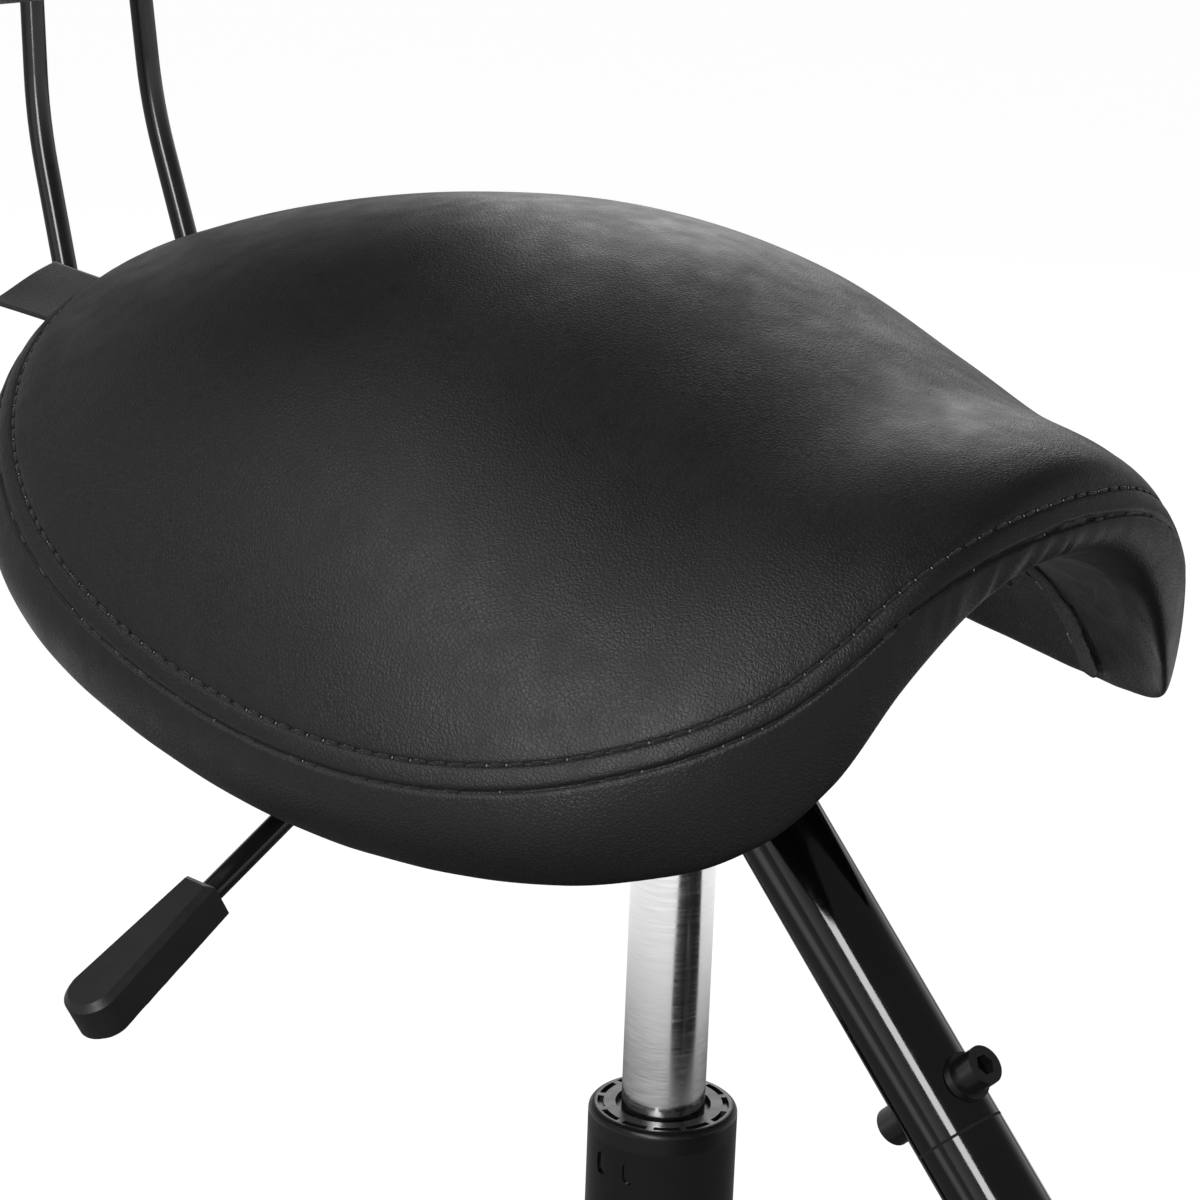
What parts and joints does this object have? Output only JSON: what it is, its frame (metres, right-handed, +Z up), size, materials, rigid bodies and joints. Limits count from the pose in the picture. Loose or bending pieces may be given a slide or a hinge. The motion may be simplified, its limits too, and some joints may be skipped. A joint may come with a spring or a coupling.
{
  "type": "saddle stool",
  "caption": "Rolling saddle stool with a gas lift, a back rest on bent rods and a knee rest on a sloping arm.",
  "frame": {"origin": "point on the floor under the axis of the gas lift", "axes": "+Z up; -Y towards the nose of the saddle and the knee rest; +X to the sitter's left"},
  "size_m": [0.5476, 0.6475, 0.7922],
  "materials": {
    "black_vinyl": "satin",
    "black_cloth": "matte",
    "plywood": "matte",
    "black_paint": "gloss",
    "brushed_steel": "satin",
    "zinc_steel": "satin",
    "black_oxide": "satin",
    "black_plastic": "satin",
    "wheel_rubber": "matte"
  },
  "bodies": {
    "base": {"base_star": "black_plastic", "caster_stems": "zinc_steel", "column_tube": "black_paint", "column_cap": "black_plastic", "guide_sleeve": "black_plastic", "bearing_lower_race": "zinc_steel", "bearing_balls": "zinc_steel"},
    "lift_rod": {"piston_rod": "brushed_steel", "piston": "zinc_steel", "bearing_upper_race": "zinc_steel", "bump_stop": "wheel_rubber", "rod_washer": "zinc_steel", "rod_clip": "zinc_steel"},
    "caster_1": {"caster_housing_1": "black_plastic", "caster_axle_1": "zinc_steel"},
    "wheels_1": {"caster_wheels_1": "wheel_rubber"},
    "caster_2": {"caster_housing_2": "black_plastic", "caster_axle_2": "zinc_steel"},
    "wheels_2": {"caster_wheels_2": "wheel_rubber"},
    "caster_3": {"caster_housing_3": "black_plastic", "caster_axle_3": "zinc_steel"},
    "wheels_3": {"caster_wheels_3": "wheel_rubber"},
    "caster_4": {"caster_housing_4": "black_plastic", "caster_axle_4": "zinc_steel"},
    "wheels_4": {"caster_wheels_4": "wheel_rubber"},
    "caster_5": {"caster_housing_5": "black_plastic", "caster_axle_5": "zinc_steel"},
    "wheels_5": {"caster_wheels_5": "wheel_rubber"},
    "seat": {"arm_lower_tube": "black_paint", "arm_upper_tube": "black_paint", "back_board": "plywood", "back_clamp": "black_paint", "back_cushion": "black_vinyl", "back_plate": "black_paint", "back_rod_left": "black_paint", "back_rod_right": "black_paint", "cylinder_gland": "zinc_steel", "gas_cylinder": "brushed_steel", "knee_board_left": "plywood", "knee_board_right": "plywood", "knee_cushion_left": "black_vinyl", "knee_cushion_right": "black_vinyl", "knee_plate": "black_paint", "lever_bracket": "black_paint", "lever_pivot_pin": "zinc_steel", "mechanism_plate": "black_paint", "plate_screws": "zinc_steel", "seat_bolts": "zinc_steel", "seat_cushion": "black_vinyl", "seat_dust_cover": "black_cloth", "seat_shell": "plywood", "seat_spacer_block": "plywood", "seat_tag": "black_cloth", "splice_nut": "black_oxide", "splice_screw": "black_oxide", "splice_washer": "black_oxide", "taper_socket": "black_paint"},
    "lever": {"lever_rod": "black_paint", "lever_grip": "black_plastic"},
    "release_pin": {"release_pin": "brushed_steel"}
  },
  "joints": [
    {"name": "seat_swivel", "type": "hinge", "parent": "base", "child": "lift_rod", "pos_m": [0, 0, 0.074], "axis": [0, 0, 1], "continuous": true},
    {"name": "seat_lift", "type": "slide", "parent": "lift_rod", "child": "seat", "axis": [0, 0, 1], "range_m": [-0.088, 0.012]},
    {"name": "lift_lever", "type": "hinge", "parent": "seat", "child": "lever", "pos_m": [-0.038, 0.038, 0.481], "axis": [0, 1, 0], "range_deg": [0, 6], "stiffness_Nm_per_rad": 6, "springref_deg": -2.86},
    {"name": "release_valve", "type": "slide", "parent": "seat", "child": "release_pin", "axis": [0, 0, -1], "range_m": [0, 0.005]},
    {"name": "caster_1_swivel", "type": "hinge", "parent": "base", "child": "caster_1", "pos_m": [0, 0.27, 0.06], "axis": [0, 0, 1], "continuous": true},
    {"name": "wheels_1_roll", "type": "hinge", "parent": "caster_1", "child": "wheels_1", "pos_m": [0, 0.251, 0.025], "axis": [-1, 0, 0], "continuous": true},
    {"name": "caster_2_swivel", "type": "hinge", "parent": "base", "child": "caster_2", "pos_m": [-0.25678, 0.08343, 0.06], "axis": [0, 0, 1], "continuous": true},
    {"name": "wheels_2_roll", "type": "hinge", "parent": "caster_2", "child": "wheels_2", "pos_m": [-0.23872, 0.07756, 0.025], "axis": [-0.309, -0.9511, 0], "continuous": true},
    {"name": "caster_3_swivel", "type": "hinge", "parent": "base", "child": "caster_3", "pos_m": [-0.1587, -0.21843, 0.06], "axis": [0, 0, 1], "continuous": true},
    {"name": "wheels_3_roll", "type": "hinge", "parent": "caster_3", "child": "wheels_3", "pos_m": [-0.14753, -0.20306, 0.025], "axis": [0.809, -0.5878, 0], "continuous": true},
    {"name": "caster_4_swivel", "type": "hinge", "parent": "base", "child": "caster_4", "pos_m": [0.1587, -0.21843, 0.06], "axis": [0, 0, 1], "continuous": true},
    {"name": "wheels_4_roll", "type": "hinge", "parent": "caster_4", "child": "wheels_4", "pos_m": [0.14753, -0.20306, 0.025], "axis": [0.809, 0.5878, 0], "continuous": true},
    {"name": "caster_5_swivel", "type": "hinge", "parent": "base", "child": "caster_5", "pos_m": [0.25678, 0.08343, 0.06], "axis": [0, 0, 1], "continuous": true},
    {"name": "wheels_5_roll", "type": "hinge", "parent": "caster_5", "child": "wheels_5", "pos_m": [0.23872, 0.07756, 0.025], "axis": [-0.309, 0.9511, 0], "continuous": true}
  ],
  "couplings": [
    {"joint": "release_valve", "follows": "lift_lever", "m_per_rad": 0.0415}
  ]
}
